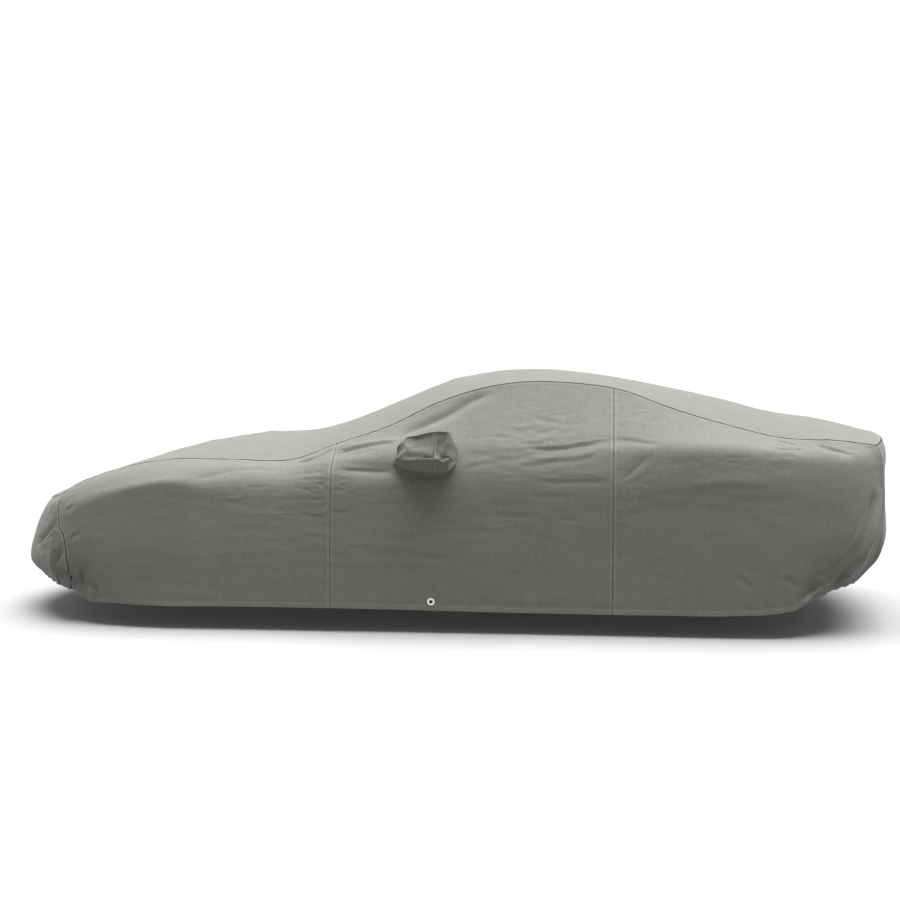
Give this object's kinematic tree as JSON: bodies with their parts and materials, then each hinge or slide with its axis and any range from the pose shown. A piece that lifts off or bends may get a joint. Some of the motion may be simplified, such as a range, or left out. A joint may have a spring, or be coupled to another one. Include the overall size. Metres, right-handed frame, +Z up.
{
  "type": "fitted car cover",
  "caption": "Hollow cover of grey non-woven cloth, sewn from shaped panels to drape over a parked saloon car, with pockets for its side mirrors and nickel eyelets at the hem for tie-down cords.",
  "frame": {"origin": "the inner face of the top panel, under its highest part, on the middle line: where the covered car's roof holds it up", "axes": "-X towards the nose, +X towards the tail, -Y towards the left side, +Z up"},
  "size_m": [4.5227, 2.09, 1.1504],
  "materials": {
    "cloth": "matt greenish grey non-woven cloth with a fine fibrous surface",
    "nickel": "bright nickel plate"
  },
  "bodies": {
    "root": {"top_panel": "cloth", "nose_panel": "cloth", "tail_panel": "cloth", "front_side_left": "cloth", "front_side_right": "cloth", "middle_side_left": "cloth", "middle_side_right": "cloth", "rear_side_left": "cloth", "rear_side_right": "cloth", "mirror_pocket_face_left": "cloth", "mirror_pocket_face_right": "cloth", "mirror_pocket_end_left": "cloth", "mirror_pocket_end_right": "cloth", "eyelet_strip_left": "cloth", "eyelet_strip_right": "cloth", "eyelet_left": "nickel", "eyelet_right": "nickel"}
  },
  "joints": []
}
